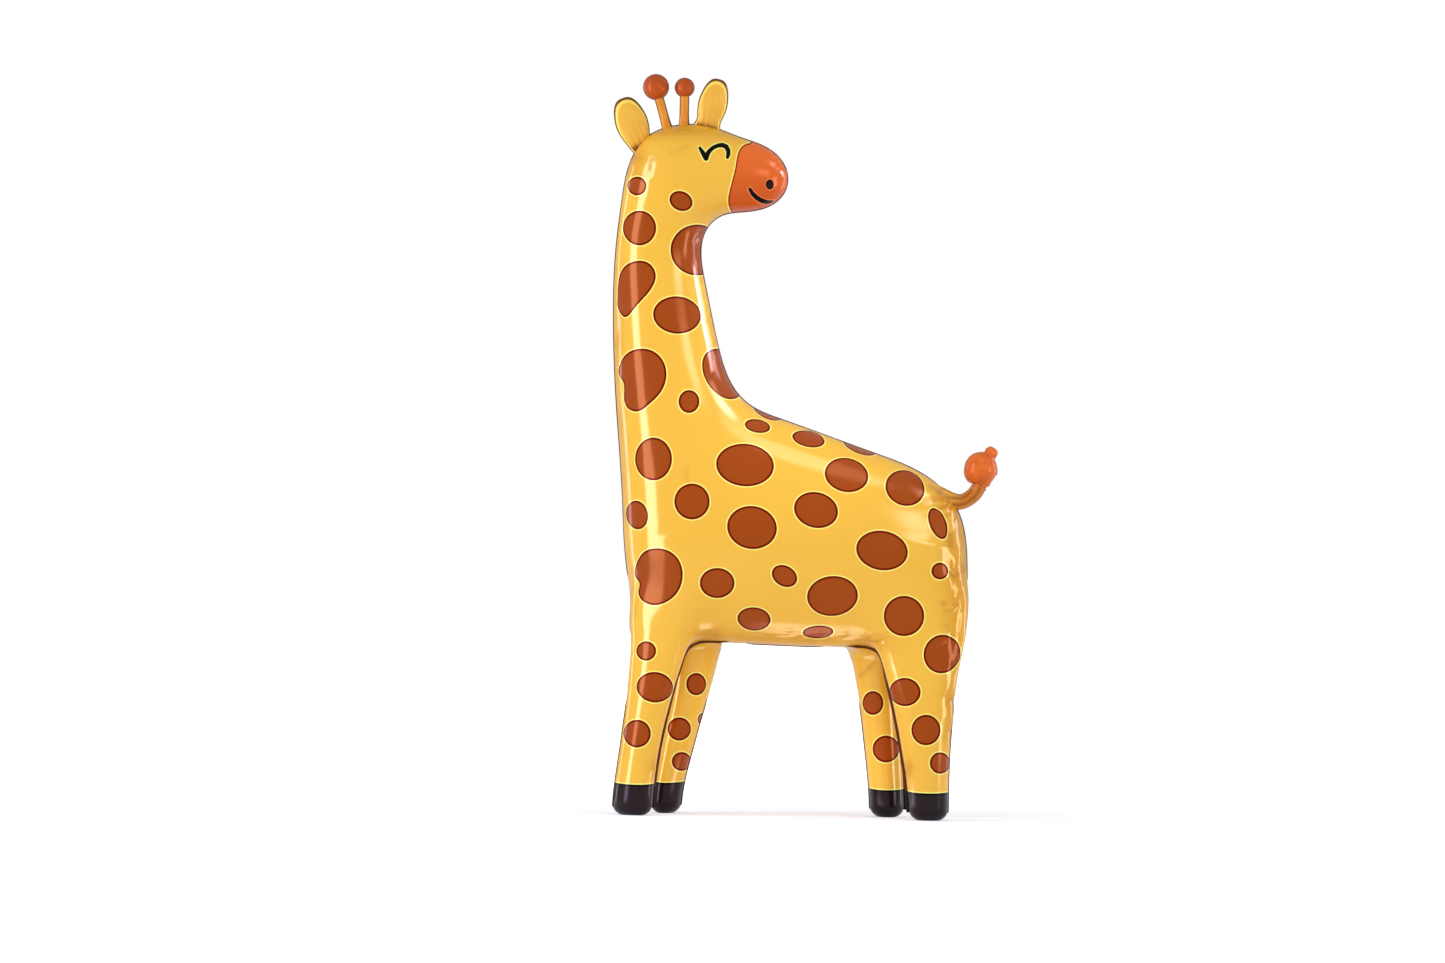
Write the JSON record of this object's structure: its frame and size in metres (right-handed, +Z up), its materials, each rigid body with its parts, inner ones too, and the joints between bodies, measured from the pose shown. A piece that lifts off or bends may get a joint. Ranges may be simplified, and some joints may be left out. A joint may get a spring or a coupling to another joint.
{
  "type": "giraffe foil balloon",
  "caption": "Standing inflated foil balloon in the shape of a giraffe, with its head turned back over its body, on flat-soled feet.",
  "frame": {"origin": "on the floor, under the middle of the balloon's box", "axes": "+Z up; +X from the chest towards the tail, the way the head looks; -Y the side that the picture shows"},
  "size_m": [0.7014, 0.2402, 1.3315],
  "materials": {
    "body_foil": "printed metallised film, golden yellow with brown spots, orange muzzle and black hooves, glossy",
    "ear_foil": "printed metallised film, deeper golden yellow, softly creased",
    "horn_foil": "printed metallised film, orange brown balls on golden orange stems",
    "tail_foil": "printed metallised film, golden orange tube with an orange ball"
  },
  "bodies": {
    "root": {"body": "body_foil", "ear_back": "ear_foil", "ear_front": "ear_foil", "horn_back": "horn_foil", "horn_front": "horn_foil", "tail": "tail_foil"}
  },
  "joints": []
}
